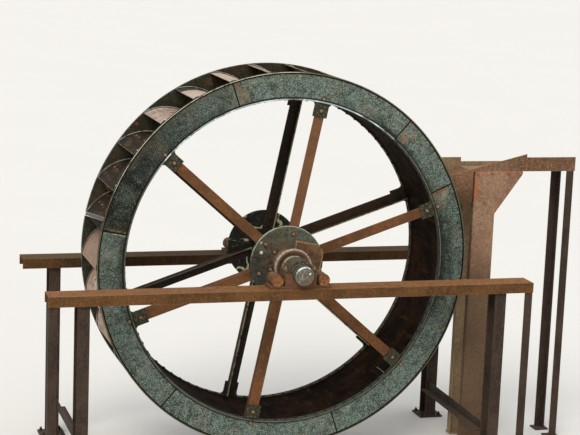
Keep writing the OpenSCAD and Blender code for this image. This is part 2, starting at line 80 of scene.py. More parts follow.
# %% Places on the wheel
def rotation(degrees, axis):
    """A turn about one axis."""
    return Matrix.Rotation(math.radians(degrees), 4, axis)


def on_wheel(angle, radius, out, side):
    """Puts a piece drawn at the origin, with z out of the wheel's face, on one side of the wheel.

    Angles run counter-clockwise as seen from the near side, from the direction of the launder.
    """
    face = rotation(-90 * side, "X")
    turn = rotation(-side * angle, "Z")
    return Matrix.Translation(axle) @ face @ turn @ Matrix.Translation((radius, 0, out))


def on_bucket(lip, arc, y, face_r, outside=True):
    """Puts a piece on a bucket plate, arc degrees round its roll from the lip's level."""
    flat = rotation(90, "X")
    about = rotation(lip, "Z") @ Matrix.Translation((ROLL_X, ROLL_Z, -y))
    along = rotation(arc, "Z") @ Matrix.Translation((face_r, 0, 0))
    face = rotation(90 if outside else -90, "Y")
    return Matrix.Translation(axle) @ flat @ about @ along @ face


print("top of the near ring:", [round(v, 3) for v in on_wheel(90, RIM_R, RING_OUT, NEAR).translation])

# %% [markdown]
# ## The camera
# The photograph was taken from the left and from above the wheel's top, with a long lens. The
# camera was held a little off level, so its sideways direction isn't quite flat. Two of its
# directions are written here, and with the third they become the columns of its matrix.

# %% Camera
scene = bpy.context.scene
CAMERA_AT = Vector((-4.21166, -13.0695, 4.47834))
LOOKS = Vector((0.28997, 0.93961, -0.18179))
RIGHT = Vector((0.95690, -0.28787, 0.03843))

lens = bpy.data.cameras.new("photo_camera")
lens.sensor_fit = "HORIZONTAL"
lens.sensor_width = 36.0
lens.lens = 106.06
camera = bpy.data.objects.new("photo_camera", lens)
scene.collection.objects.link(camera)
backwards = -LOOKS.normalized()
upwards = backwards.cross(RIGHT).normalized()
sideways = upwards.cross(backwards)
directions = Matrix((sideways, upwards, backwards)).transposed().to_4x4()
camera.matrix_world = Matrix.Translation(CAMERA_AT) @ directions
scene.camera = camera
print("camera looks down by", round(math.degrees(math.asin(backwards.z)), 1), "degrees")

# %% [markdown]
# ## Light and floor
# A pale sky all round gives soft light without hard shadows, as on the photograph's overcast day,
# and one large soft sun from the upper left gives the forms a lit side. The level is chosen so that
# a colour renders about as it is written.

# %% Sky, sun and view
scene.view_settings.view_transform = "Standard"
sky = bpy.data.worlds.new("pale_sky")
sky.use_nodes = True
sky.node_tree.nodes["Background"].inputs["Color"].default_value = (0.97, 0.98, 1.0, 1.0)
sky.node_tree.nodes["Background"].inputs["Strength"].default_value = 0.80
scene.world = sky

sun = bpy.data.lights.new("soft_sun", "SUN")
sun.energy = 1.9
sun.angle = math.radians(35)
sun.color = (1.0, 0.97, 0.92)
sun_object = bpy.data.objects.new("soft_sun", sun)
sun_object.rotation_euler = (math.radians(42), math.radians(-8), math.radians(-28))
scene.collection.objects.link(sun_object)
print("sun points along", [round(v, 2) for v in sun_object.rotation_euler.to_matrix() @ Vector((0, 0, -1))])


# %% [markdown]
# ## How the finishes are made
# Old metal shows several layers: what is left of its coating or mill scale, rust that spreads from
# joints and edges, dust on what faces up, and bare worn edges. Each finish below is built the same
# way: a base of two tones, then coats, each laid through one or more masks. A mask is a pattern of
# numbers from 0 to 1. Rust, dirt and paint aren't metallic, so no finish is. A casting's sand, rust's
# flakes and a lathe's marks are 1 mm wide or less, too fine for the render, so they are drawn 3 to
# 10 mm wide.

# %% Colours
def colour(text):
    """An sRGB hex value as a linear colour."""
    parts = [int(text[i:i + 2], 16) / 255 for i in (1, 3, 5)]
    linear = [v / 12.92 if v <= 0.04045 else ((v + 0.055) / 1.055) ** 2.4 for v in parts]
    return (*linear, 1.0)


print("#808080 is", [round(v, 3) for v in colour("#808080")], "in linear light")

# %% [markdown]
# A finish holds the node tree of one material. It starts with two tones mixed by large clouds and a
# roughness that varies a little. The other methods make masks, lay coats and, at the end, add the
# grit of old iron.

# %% Finish and its one node helper
class Finish:
    """A material that is built up in coats, on object coordinates in metres."""

    def __init__(self, name, dark, light, patch=0.25, roughness=0.8, gloss=0.3):
        self.material = bpy.data.materials.new(name)
        self.material.use_nodes = True
        self.tree = self.material.node_tree
        self.shader = self.tree.nodes["Principled BSDF"]
        self.shader.inputs["Specular IOR Level"].default_value = gloss
        self.coats = 0
        self.place = self.add("TexCoord", out="Object")
        self.facing = self.add("TexCoord", out="Normal")
        clouds = self.grain(patch, 0.35, 0.65, seed=1)
        self.colour = self.add("Mix", {0: clouds, 6: colour(dark), 7: colour(light)}, out=2, data_type="RGBA")
        clouds = self.grain(0.02, 0.3, 0.7, seed=2)
        self.rough = self.add("MapRange", {0: clouds, 3: roughness - 0.1, 4: roughness + 0.1})

    def add(self, kind, inputs=(), out=0, **settings):
        """Adds one node and returns one output. Inputs are values or other outputs, by socket."""
        node = self.tree.nodes.new("ShaderNode" + kind)
        for key, value in settings.items():
            setattr(node, key, value)
        for socket, value in dict(inputs).items():
            if isinstance(value, bpy.types.NodeSocket):
                self.tree.links.new(value, node.inputs[socket])
            else:
                node.inputs[socket].default_value = value
        return node.outputs[out]

    def grain(self, size, low, high, seed=0, stretch=(1, 1, 1), detail=5.0, harsh=0.6):
        """A mask of cloudy patches about size metres across, longer where stretch is more than 1.

        It has detail finer layers, each harsh times as strong as the one before.
        """
        scale = [1 / (size * s) for s in stretch]
        moved = self.add("VectorMath", {0: self.place, 1: scale, 2: (seed * 7.3, seed * 3.9, seed * 5.1)},
                         operation="MULTIPLY_ADD")
        clouds = self.add("TexNoise", {"Vector": moved, "Scale": 1.0, "Detail": detail, "Roughness": harsh})
        return self.step(clouds, low, high)

    def step(self, value, low, high):
        """A mask that rises from 0 where value is low to 1 where it is high."""
        return self.add("MapRange", {0: value, 1: low, 2: high}, interpolation_type="SMOOTHSTEP")

    def band(self, value, low, high, fade):
        """A mask that is 1 where value lies between low and high."""
        middle, half = (low + high) / 2, (high - low) / 2
        away = self.add("Math", {0: value, 1: middle}, operation="SUBTRACT")
        away = self.add("Math", {0: away}, operation="ABSOLUTE")
        return self.step(away, half + fade, half)

    def spot(self, place, radius, fade=0.004, ragged=0.0):
        """A mask on a round spot at a place, with a ragged edge if asked."""
        away = self.add("VectorMath", {0: self.place, 1: place.translation}, "Value", operation="DISTANCE")
        if ragged:
            wander = self.grain(radius * 0.4, 0.2, 0.8, seed=21)
            away = self.add("Math", {0: wander, 1: ragged, 2: away}, operation="MULTIPLY_ADD")
        return self.step(away, radius + fade, radius)

    def edges(self, size, low=0.02, high=0.2):
        """A mask on the edges of a piece, size metres wide."""
        rounded = self.add("Bevel", {"Radius": size}, samples=4)
        normal = self.add("NewGeometry", out="Normal")
        same = self.add("VectorMath", {0: rounded, 1: normal}, "Value", operation="DOT_PRODUCT")
        return self.step(same, 1 - low, 1 - high)

    def facing_up(self, low=0.5, high=0.9):
        """A mask on what faces up."""
        return self.step(self.add("SeparateXYZ", {0: self.facing}, out=2), low, high)

    def coat(self, tone, *masks, amount=1.0, rough=None):
        """Lays a colour over the coats so far, where all the masks are 1, and a roughness if one is given."""
        where = amount
        for mask in masks:
            where = self.add("Math", {0: mask, 1: where}, operation="MULTIPLY")
        self.colour = self.add("Mix", {0: where, 6: self.colour, 7: colour(tone)}, out=2, data_type="RGBA")
        if rough is not None:
            self.rough = self.add("Mix", {0: where, 2: self.rough, 3: rough})
        self.coats += 1

    def done(self, grit=0.006, depth=0.0012, pits=0.0):
        """Gives the surface its grit, with pits if asked, and joins everything to the shader."""
        height = self.grain(grit, 0.2, 0.8, seed=5, detail=3.0)
        if pits:
            hollow = self.grain(grit * 4, 0.62, 0.72, seed=6)
            height = self.add("Math", {0: hollow, 1: -pits, 2: height}, operation="MULTIPLY_ADD")
        bump = self.add("Bump", {"Height": height, "Distance": depth, "Strength": 0.8})
        self.tree.links.new(bump, self.shader.inputs["Normal"])
        self.tree.links.new(self.colour, self.shader.inputs["Base Color"])
        self.tree.links.new(self.rough, self.shader.inputs["Roughness"])
        return self.material


# %% [markdown]
# Stains on the wheel go round with it, so its finishes need to know how far a point lies from the
# shaft and at which angle. On the buckets it also counts how far the point lies from the line that
# the nearest plate is rolled about, because the ribs follow the same curve.

# %% Finish for the wheel
class WheelFinish(Finish):
    """A finish that knows the places on the wheel."""

    def __init__(self, *looks, **more):
        """Makes the radius, the angle in degrees and the distance from the middle plane."""
        super().__init__(*looks, **more)
        from_axle = self.add("VectorMath", {0: self.place, 1: axle}, operation="SUBTRACT")
        x, self.across, z = self.add("SeparateXYZ", {0: from_axle}).node.outputs
        flat = self.add("VectorMath", {0: from_axle, 1: (1, 0, 1)}, operation="MULTIPLY")
        self.radius = self.add("VectorMath", {0: flat}, "Value", operation="LENGTH")
        angle = self.add("Math", {0: z, 1: x}, operation="ARCTAN2")
        angle = self.add("Math", {0: angle}, operation="DEGREES")
        self.angle = self.add("Math", {0: angle, 1: 360, 2: 0}, operation="WRAP")
        self.out = self.add("Math", {0: self.across}, operation="ABSOLUTE")

    def round_a_bucket(self):
        """Makes the distance from the line that the nearest bucket plate is rolled about."""
        turned = self.add("Math", {0: self.angle, 1: LIPS[0]}, operation="SUBTRACT")
        turned = self.add("Math", {0: turned, 1: 0.5, 2: -11.5}, operation="WRAP")
        turned = self.add("Math", {0: turned}, operation="RADIANS")
        cosine = self.add("Math", {0: turned}, operation="COSINE")
        sine = self.add("Math", {0: turned}, operation="SINE")
        unit = self.add("CombineXYZ", {0: cosine, 2: sine})
        there = self.add("VectorMath", {0: unit, "Scale": self.radius}, operation="SCALE")
        centre = (ROLL_X, 0, ROLL_Z)
        self.roll = self.add("VectorMath", {0: there, 1: centre}, "Value", operation="DISTANCE")


def dress(material, *names):
    """Gives CAD nodes, by name, a better material."""
    for name in names:
        mesh = nodes[name].data
        mesh.materials.clear()
        mesh.materials.append(material)
    print(material.name, "on", len(names), "pieces")


print("centre of a bucket's roll, from the shaft:", round(ROLL_X, 4), round(ROLL_Z, 4))

# %% [markdown]
# ## The rings
# The rings are grey cast iron, sand cast and once painted black. What is left of the paint has
# weathered to a mottled green-grey. The raised edges are rubbed bare, dark dirt lies beside them,
# and brown rust spreads along one side of each joint.

# %% Paint on the rings
def ring_iron(name, dark, light, deep, rust):
    """Weathered paint on a cast ring, in large soft tones, with clouds of rust."""
    f = WheelFinish(name, dark, light, patch=0.22, roughness=0.62, gloss=0.15)
    f.past_joint = f.add("Math", {0: f.angle, 1: JOINT}, operation="SUBTRACT")
    f.past_joint = f.add("Math", {0: f.past_joint, 1: 60, 2: 0}, operation="WRAP")
    f.coat(deep, f.grain(0.24, 0.44, 0.62, seed=6), amount=0.5)
    f.coat(rust, f.grain(0.16, 0.46, 0.66, seed=8), amount=0.65)
    return f


def cast_grain(f, deep, pale, much=1.0):
    """The grain of sand-cast iron under thin paint: soft blotches first, then the sand itself."""
    f.coat(deep, f.grain(0.045, 0.38, 0.66, seed=3), amount=0.55 * much)
    f.coat(pale, f.grain(0.035, 0.44, 0.7, seed=4), amount=0.36 * much)
    f.coat(deep, f.grain(0.0065, 0.42, 0.56, seed=31, detail=1.0), amount=0.72 * much)
    f.coat(pale, f.grain(0.0065, 0.5, 0.62, seed=32, detail=1.0), amount=0.62 * much)


def joint_rust(f, rust, amount):
    """Ragged rust along the side of each joint with the smaller angle."""
    f.coat(rust, f.step(f.past_joint, 50, 59), f.grain(0.06, 0.42, 0.58, seed=10, harsh=0.75),
           amount=amount, rough=0.85)


def joint_lines(f, rust):
    """The dark gap of each joint, with a line of rust along its other side."""
    f.coat("#0b0c08", f.band(f.past_joint, 59.62, 60.2, 0.06))
    f.coat(rust, f.band(f.past_joint, 0.06, 0.34, 0.06), f.grain(0.05, 0.45, 0.56, seed=24), amount=0.8)


print("joints between castings at", [round((JOINT + 60 * k) % 360, 1) for k in range(6)])

# %% [markdown]
# The near ring faces the viewer, so it gets the most coats. Large soft tones come first: warmer
# along the top left, paler beside the upper right joint and duller below the left one. The sandy
# grain goes over them, as it shows through every tone of thin paint.

# %% Near ring: tones and grain
def on_face(angle, radius):
    """A place on the outer face of the near ring."""
    return on_wheel(angle, radius, RING_OUT, NEAR)


f = ring_iron("weathered_paint_with_painted_light_on_near_ring", "#4c594f", "#667569", "#20271f", "#75674f")
f.coat("#646650", f.step(f.radius, 1.44, 1.5), f.band(f.angle, 88, 122, 10), amount=0.5)
f.coat("#767d6c", f.band(f.angle, 50, 66, 8), f.grain(0.09, 0.4, 0.6, seed=11), amount=0.6)
f.coat("#4f5645", f.band(f.angle, 173, 186, 5), f.grain(0.2, 0.3, 0.6, seed=11), amount=0.5)
cast_grain(f, "#161d17", "#98a89c")
joint_rust(f, "#6f6149", 0.25)
print("coats so far:", f.coats)

# %% [markdown]
# The casting at the left is much darker: its paint stays damp and dark, and painted shade lies over
# it as well. It ends at the joint at 169 degrees. The ring's right side is darker too, most of all
# along its inner edge. It is found by the angle either way from the launder's direction. Dark clouds
# lie over all of the ring.

# %% Near ring: damp paint and painted shade
above_joint = f.step(f.angle, 169.2, 168.9)
# Damp dark paint at the left, with painted shade laid over it
f.coat("#10140d", above_joint, f.step(f.angle, 105, 112), amount=0.28)
f.coat("#0c100b", above_joint, f.step(f.angle, 118, 158), f.grain(0.14, 0.16, 0.5, seed=22, harsh=0.7),
       amount=0.94)
f.coat("#10140d", above_joint, f.step(f.angle, 122, 150), f.step(f.radius, 1.4, 1.49), amount=0.6)
f.coat("#10140d", f.step(f.radius, 1.39, 1.34), f.band(f.angle, 110, 150, 8), amount=0.2)
f.coat("#10140d", f.step(f.angle, 168.9, 169.2), f.step(f.angle, 200, 185), amount=0.2)
from_right = f.add("Math", {0: f.angle, 1: 180, 2: -180}, operation="WRAP")
from_right = f.add("Math", {0: from_right}, operation="ABSOLUTE")
f.coat("#171a12", f.step(f.radius, 1.385, 1.335), f.step(from_right, 26, 16), amount=0.6)
f.coat("#10140d", f.step(from_right, 38, 10), amount=0.18)
f.coat("#1c2119", f.grain(0.09, 0.51, 0.64, seed=33, harsh=0.7), amount=0.45)
print("coats so far:", f.coats)

# %% [markdown]
# The dark casting has a soft pale sheen and pale flecks, painted highlights on its wet paint, and
# also a pale spot, a brown one behind its arm, some rust above the joint and dark flecks of grain.
# The casting below the joint has a dark inner edge and a paler middle of painted light.

# %% Near ring: patches at the left
# Soft pale patches: painted sheen on the wet paint
f.coat("#6d7563", above_joint, f.step(f.angle, 118, 140), f.grain(0.065, 0.51, 0.66, seed=35, harsh=0.7),
       amount=0.35)
f.coat("#6a7266", f.spot(on_face(157, 1.42), 0.04, 0.11, ragged=0.07), f.grain(0.012, 0.3, 0.62, seed=48),
       amount=0.75)
f.coat("#6c6353", f.spot(on_face(139, 1.4), 0.04, 0.12, ragged=0.07), f.grain(0.02, 0.34, 0.58, seed=49),
       amount=0.75)
f.coat("#4f4431", above_joint, f.step(f.angle, 164.5, 168.8), f.grain(0.03, 0.34, 0.58, seed=50), amount=0.65)
# Pale flecks: painted glints on the wet paint
f.coat("#7b8573", above_joint, f.step(f.angle, 112, 140), f.grain(0.0085, 0.5, 0.62, seed=30, detail=2.0),
       f.grain(0.05, 0.38, 0.62, seed=37, harsh=0.7), amount=0.5)
f.coat("#141a14", f.band(f.angle, 171, 200, 2), f.step(f.radius, 1.385, 1.325),
       f.grain(0.06, 0.3, 0.52, seed=47), amount=0.75)
# Paler middle below the joint: painted light
f.coat("#7b8377", f.spot(on_face(176, 1.435), 0.03, 0.1, ragged=0.05), amount=0.35)
f.coat("#060805", above_joint, f.step(f.angle, 112, 140), f.grain(0.0085, 0.45, 0.56, seed=36, detail=1.0),
       amount=0.85)
print("coats so far:", f.coats)

# %% [markdown]
# Beside the joints the paint has let rust and dirt through. Each stain is a band or a spot, broken
# up by a grain of its own, so that it has no straight edge. One more line crosses the ring at 24
# degrees, off the even spacing of the joints, and the most rust lies below it.

# %% Near ring: stains at the joints
f.coat("#0d110b", f.step(from_right, 22, 13), f.step(f.radius, 1.46, 1.38),
       f.grain(0.05, 0.34, 0.54, seed=40, harsh=0.7), amount=0.65)
f.coat("#52473a", f.step(f.radius, 1.44, 1.5), f.band(f.angle, 116, 146, 8),
       f.grain(0.09, 0.36, 0.56, seed=41), amount=0.55)
f.coat("#6e5c42", f.band(f.angle, 19, 24.3, 3), f.step(f.radius, 1.46, 1.38),
       f.grain(0.05, 0.4, 0.62, seed=12, harsh=0.7), amount=0.6, rough=0.85)
f.coat("#857b6b", f.spot(on_face(21.8, 1.415), 0.03, 0.03, ragged=0.04), amount=0.7)
f.coat("#78502f", f.band(f.angle, 23.5, 24.3, 0.3), f.step(f.radius, 1.48, 1.44),
       f.grain(0.03, 0.34, 0.52, seed=42), amount=0.85)
f.coat("#84654c", f.spot(on_face(46.7, 1.375), 0.045, 0.03, ragged=0.05), f.grain(0.022, 0.34, 0.54, seed=45),
       amount=0.85)
f.coat("#8a6c56", f.spot(on_face(44.9, 1.435), 0.028, 0.025, ragged=0.04),
       f.grain(0.018, 0.36, 0.56, seed=46), amount=0.85)
f.coat("#7c6a50", f.band(f.angle, 105.6, 109, 1.6), f.step(f.radius, 1.47, 1.38),
       f.grain(0.05, 0.36, 0.62, seed=43, harsh=0.75), amount=0.75)
f.coat("#6a5138", f.band(f.angle, 107.4, 109, 0.8), f.step(f.radius, 1.42, 1.47),
       f.grain(0.04, 0.36, 0.56, seed=44), amount=0.7)
print("coats so far:", f.coats)

# %% [markdown]
# The inner edge is darker on both sides of the upper right joint, and above that joint a painted
# shadow lies beside the inner bead. The joints are narrow dark gaps. The one at the left stands open
# and has a pale line on its lower side, a painted highlight on its edge.

# %% Near ring: dark inner edge, painted shadow and joints
f.coat("#141a14", f.band(f.angle, 27, 46, 5), f.step(f.radius, 1.395, 1.325),
       f.grain(0.05, 0.28, 0.54, seed=51), amount=0.65)
f.coat("#141a14", f.band(f.angle, 51, 60, 5), f.step(f.radius, 1.4, 1.33),
       f.grain(0.05, 0.28, 0.54, seed=52), amount=0.55)
f.coat("#7c6a5e", f.spot(on_face(61, 1.395), 0.025, 0.04, ragged=0.05), f.grain(0.02, 0.38, 0.58, seed=53),
       amount=0.7)
# Painted shadow beside the inner bead, above the joint at 49 degrees
f.coat("#12150f", f.band(f.angle, 50, 55, 2.5), f.band(f.radius, 1.325, 1.34, 0.014), amount=0.75)
joint_lines(f, "#7d6041")
f.coat("#0b0c08", f.band(f.angle, 24.24, 24.68, 0.05), f.band(f.radius, 1.31, 1.515, 0.005))
f.coat("#6f6044", f.band(f.angle, 168.25, 168.7, 0.2), f.grain(0.03, 0.42, 0.56, seed=28), amount=0.7)
f.coat("#0b0c08", f.band(f.angle, 168.75, 169.25, 0.06))
# Pale line below the open joint: a painted highlight on its edge
f.coat("#99a08f", f.band(f.angle, 169.34, 169.58, 0.08), f.grain(0.03, 0.46, 0.56, seed=29), amount=0.8)
print("coats so far:", f.coats)

# %% [markdown]
# The ring's two raised beads catch the eye most. The outer one is a thin tan line with a black one
# beside it, of dirt and painted shade in the corner, and a painted highlight on its upper left part.
# The inner one has painted shadow lines on both sides, and is rubbed to a bright grey with a painted
# highlight on the upper half of the wheel only. The lugs that the arms are bolted to are dark.

# %% Beads of the near ring
# Black line inside the outer bead: dirt and painted shade in the corner
f.coat("#0c0e0a", f.band(f.radius, 1.507, 1.517, 0.002))
# Dark line outside the inner bead: painted shadow
f.coat("#12140f", f.band(f.radius, 1.318, 1.325, 0.004), amount=0.9)
f.coat("#1d1c15", f.step(f.radius, 1.3035, 1.3), amount=0.95)
lugs = f.step(f.radius, 1.299, 1.294)
f.coat("#2e2e22", lugs, amount=0.9)
f.coat("#5a563f", lugs, f.grain(0.014, 0.5, 0.62, seed=26, detail=2.0), amount=0.8)
f.coat("#24251a", f.step(f.radius, 1.5225, 1.5245), amount=0.9)
f.coat("#6e6349", f.band(f.radius, 1.5185, 1.522, 0.001), amount=0.85)
# Whitish line on the outer bead's upper left: rubbed bare, with a painted highlight
f.coat("#d6d0b6", f.band(f.radius, 1.519, 1.522, 0.001), f.band(f.angle, 92, 152, 10),
       f.grain(0.06, 0.34, 0.5, seed=13), rough=0.5)
rubbed_and_highlit = f.add("Math", {0: f.band(f.angle, 58, 136, 14), 1: f.step(f.angle, JOINT, JOINT + 0.4)},
              operation="MULTIPLY")
# Dark inner bead, whose edges stay as painted shadow lines
f.coat("#2a2f26", f.band(f.radius, 1.3, 1.318, 0.001), amount=0.8)
f.coat("#6f6e57", f.band(f.radius, 1.308, 1.313, 0.002), f.grain(0.05, 0.36, 0.5, seed=23), amount=0.8)
# Bright grey on the inner bead's upper half: rubbed bare, with a painted highlight
f.coat("#9dabab", f.band(f.radius, 1.3055, 1.3145, 0.0015), rubbed_and_highlit, f.grain(0.12, 0.34, 0.5, seed=14),
       rough=0.4)
f.coat("#d5dfe0", f.band(f.radius, 1.3065, 1.3135, 0.0015), rubbed_and_highlit, f.grain(0.07, 0.53, 0.6, seed=27),
       rough=0.35)
dress(f.done(grit=0.008), *[f"near_shroud_{k}" for k in range(1, 7)])

# %% [markdown]
# Inside the far ring, the cast ribs beside the bucket plates are worn pale along their tips and
# have painted shadow where they meet the plates. Single rust spots are laid by their place on the wheel.

# %% Far ring
def inside(angle, radius):
    """A place on the inner face of the far ring."""
    return on_wheel(angle, radius, -RING_IN, NEAR)


f = ring_iron("weathered_paint_and_painted_shadow_on_far_ring", "#252416", "#3a3a29", "#15150c", "#4e3822")
cast_grain(f, "#12120a", "#5c5d49", 0.85)
joint_rust(f, "#4e3822", 0.7)
joint_lines(f, "#4e3822")
f.round_a_bucket()
f.coat("#34261a", f.grain(0.16, 0.48, 0.62, seed=16), amount=0.8)
f.coat("#a5672f", f.spot(inside(158, 1.4), 0.05, 0.02, ragged=0.04),
       f.step(f.out, 0.347, 0.344), amount=0.85)
f.coat("#8f4429", f.spot(inside(136.8, 1.498), 0.012, 0.008, ragged=0.012))
f.coat("#5c4630", f.spot(inside(110.1, 1.46), 0.045, 0.02, ragged=0.05), amount=0.9)
f.coat("#6f5648", f.spot(inside(82.5, 1.501), 0.018, 0.01, ragged=0.02))
rib_side = f.band(f.out, 0.3035, 0.3075, 0.001)
# Painted shadow along the rib's side, where it meets the plate
f.coat("#0f0e09", rib_side)
f.coat("#b3bab0", rib_side, f.step(f.roll, 0.3548, 0.3565), f.grain(0.04, 0.32, 0.46, seed=19))
f.coat("#5f503b", rib_side, f.band(f.angle, 152, 200, 3), f.grain(0.05, 0.36, 0.5, seed=27),
       amount=0.85)
f.coat("#6a6e60", f.step(f.radius, 1.519, 1.523), f.grain(0.05, 0.35, 0.5, seed=20), amount=0.8)
dress(f.done(grit=0.010, depth=0.002), *[f"far_shroud_{k}" for k in range(1, 7)])

# %% [markdown]
# ## Bucket plates
# The buckets are steel plates rolled to a curve. Some have lost their scale and show an even pinkish
# rust, and others keep a dark brown crust. A ramp along the angle gives each of the thirty plates
# one of these two looks, and streaks run across the wheel.

# %% Bucket plates
DARK_PLATES = {145.1, 157.1, 169.1, 217.1, 241.1, 289.1, 13.1, 25.1, 61.1}

f = WheelFinish("pinkish_rust_and_painted_shade_on_rolled_plate", "#968474", "#b5a08f", patch=0.12, gloss=0.15)
f.round_a_bucket()
f.coat("#766a60", f.grain(0.035, 0.5, 0.64, seed=3, stretch=(1, 7, 1)), amount=0.75)
f.coat("#c3b3a3", f.grain(0.028, 0.56, 0.7, seed=4, stretch=(1, 9, 1)), amount=0.75)
f.coat("#b58d74", f.grain(0.17, 0.46, 0.58, seed=17), amount=0.55)
f.coat("#807b78", f.grain(0.07, 0.53, 0.63, seed=18, stretch=(1, 3, 1)), amount=0.6)
f.coat("#7d5a41", f.grain(0.08, 0.58, 0.7, seed=7), f.grain(0.02, 0.4, 0.6, seed=8), amount=0.6)
f.coat("#cdbba9", f.band(f.angle, 98.5, 121.5, 0.3), amount=0.45)
f.coat("#2c2318", f.spot(on_bucket(133.1, -23, -0.05, 0.35), 0.011))
f.coat("#4a3d30", f.spot(on_bucket(133.1, -41, -0.01, 0.35), 0.026, 0.02, ragged=0.02), amount=0.8)
f.coat("#2c2318", f.spot(on_bucket(109.1, -42, 0.22, 0.35), 0.014))
# Painted shade on the upper plates beside the far ring's rib
f.coat("#1f1911", f.band(f.angle, 110.5, 121.5, 0.3), f.step(f.across, 0.1, 0.15), amount=0.95)
f.coat("#83695a", f.band(f.angle, 170, 181.6, 0.3), amount=0.75)

# %% [markdown]
# The ramp is set to constant steps, so that the tone changes from plate to plate and never halfway
# along one. Only the steps at which it changes are entered, as a ramp holds 32 at the most. Beyond
# the torn lip at the left, painted shade and black dirt cover what is left of that plate.

# %% Dark plates
beyond_tear = f.add("Math", {0: f.across, 1: -5.4, 2: f.angle}, operation="MULTIPLY_ADD")
dark_plate = f.add("ValToRGB", {0: f.add("Math", {0: f.angle, 1: 360}, operation="DIVIDE")})
ramp = dark_plate.node.color_ramp
ramp.interpolation = "CONSTANT"
PLATE_START = 11  # degrees from a plate's lip back to where its tone starts
tones = sorted(((lip - PLATE_START) % 360, float(round(lip % 360, 1) in DARK_PLATES)) for lip in LIPS)
ramp.elements[0].color = (*[tones[-1][1]] * 3, 1)
ramp.elements.remove(ramp.elements[1])
changes = [(start, tone) for i, (start, tone) in enumerate(tones) if tone != tones[i - 1][1]]
for start, tone in changes:
    ramp.elements.new(start / 360).color = (tone, tone, tone, 1)
f.coat("#241a0e", dark_plate)
f.coat("#4b3621", dark_plate, f.grain(0.05, 0.48, 0.62, seed=10, stretch=(1, 4, 1)), amount=0.85)
f.coat("#1a150d", dark_plate, f.grain(0.04, 0.52, 0.64, seed=9), amount=0.8)
# Painted shade deep in the buckets, towards the rings' inner edge
f.coat("#2a2018", f.step(f.radius, 1.4, 1.33), f.grain(0.05, 0.3, 0.5, seed=11), amount=0.85)
f.coat("#8f897a", f.step(f.radius, 1.5225, 1.5238), f.grain(0.05, 0.35, 0.55, seed=12), amount=0.7)
# Painted shade and black dirt beyond the torn lip
f.coat("#14110b", f.step(beyond_tear, 166.9, 167.3), f.band(f.angle, 163, 170, 0.3),
       f.step(f.radius, 1.44, 1.46))
dress(f.done(grit=0.007, depth=0.001), *[f"buckets_{k}" for k in range(1, 7)])
print("changes of tone along the rim:", len(changes))

# %% Sole plates
# Brown crust, painted nearly black as painted shade inside the rim
f = WheelFinish("brown_crust_and_painted_shade_on_sole_plates", "#120a04", "#28180b", patch=0.2, roughness=0.95, gloss=0.05)
f.coat("#3a2615", f.grain(0.05, 0.54, 0.68, seed=3, stretch=(1, 5, 1)), amount=0.7)
f.coat("#0d0804", f.grain(0.08, 0.52, 0.66, seed=4), amount=0.7)
f.coat("#54412c", f.edges(0.004), amount=0.5)
dress(f.done(grit=0.010, depth=0.002, pits=0.6), "sole_plates")


# %% [markdown]
# ## Arms, hubs and shaft
# The arms are rolled steel angles with a plain brown rust. Those on the far side stay in the
# shade, and their rust is painted nearly black as painted shade. The hub discs wear the same weathered
# paint as the rings, and the collars and the clamp plate are rusty cast iron with worn rims.

# %% Arms
def arm_rust(name, dark, light, bright, edge):
    """Plain brown rust on rolled steel, in blotches and specks."""
    f = WheelFinish(name, dark, light, patch=0.22)
    f.coat(bright, f.grain(0.05, 0.52, 0.68, seed=3), amount=0.6)
    f.coat(dark, f.grain(0.016, 0.5, 0.64, seed=4, detail=2.0), amount=0.75)
    f.coat(edge, f.edges(0.005), f.grain(0.04, 0.35, 0.55, seed=5), amount=0.8)
    return f


f = arm_rust("brown_rust_on_near_arms", "#54361c", "#714725", "#7d522f", "#947049")
f.coat("#775138", f.band(f.angle, 74, 84, 2), f.grain(0.1, 0.3, 0.5, seed=7), amount=0.5)
dress(f.done(pits=0.3), "near_arms")
# The far arms' rust is painted darker than the near arms', as painted shade
f = arm_rust("dark_rust_and_painted_shade_on_far_arms", "#1b130b", "#302315", "#413020", "#5d5540")
f.coat("#3d2b1a", f.band(f.angle, 0, 70, 8), f.grain(0.06, 0.3, 0.5, seed=8), amount=0.75)
flange_edge = f.step(f.out, 0.279, 0.274)
f.coat("#8c8462", flange_edge, f.grain(0.06, 0.36, 0.5, seed=7), rough=0.9)
f.coat("#553e2a", flange_edge, f.band(f.angle, 188, 232, 4), amount=0.85)
dress(f.done(pits=0.3), "far_arms")

# %% Near hub disc
f = WheelFinish("weathered_paint_and_painted_highlight_on_near_hub", "#262519", "#474633", patch=0.12, roughness=0.62)
f.coat("#5d6a5c", f.band(f.angle, 20, 95, 25), f.grain(0.06, 0.42, 0.58, seed=5), amount=0.55)
f.coat("#54452c", f.band(f.angle, 75, 175, 20), f.grain(0.08, 0.44, 0.58, seed=9), amount=0.75)
cast_grain(f, "#12110a", "#86866f", 0.65)
f.coat("#0f100b", f.band(f.angle, 165, 255, 15), amount=0.45)
f.coat("#6b4a2f", f.step(f.radius, 0.22, 0.15), f.grain(0.035, 0.46, 0.6, seed=7), amount=0.8, rough=0.85)
# Painted highlight on the disc's upper rim
f.coat("#9aa596", f.step(f.radius, 0.292, 0.297), f.band(f.angle, 40, 150, 30),
       f.grain(0.05, 0.3, 0.5, seed=8), rough=0.45)
f.coat("#c3cdc8", f.spot(on_wheel(142, 0.275, DISC_OUT, NEAR), 0.016, 0.01, ragged=0.03))
f.coat("#c9cdc0", f.spot(on_wheel(157, 0.232, DISC_OUT, NEAR), 0.01, 0.006))
dress(f.done(grit=0.008, depth=0.0015), "near_hub")

# %% [markdown]
# The far disc is black, with pale lichen that grows in winding lines. Where a soft noise passes
# through its middle value it draws such lines by itself, as contour lines do on a map.

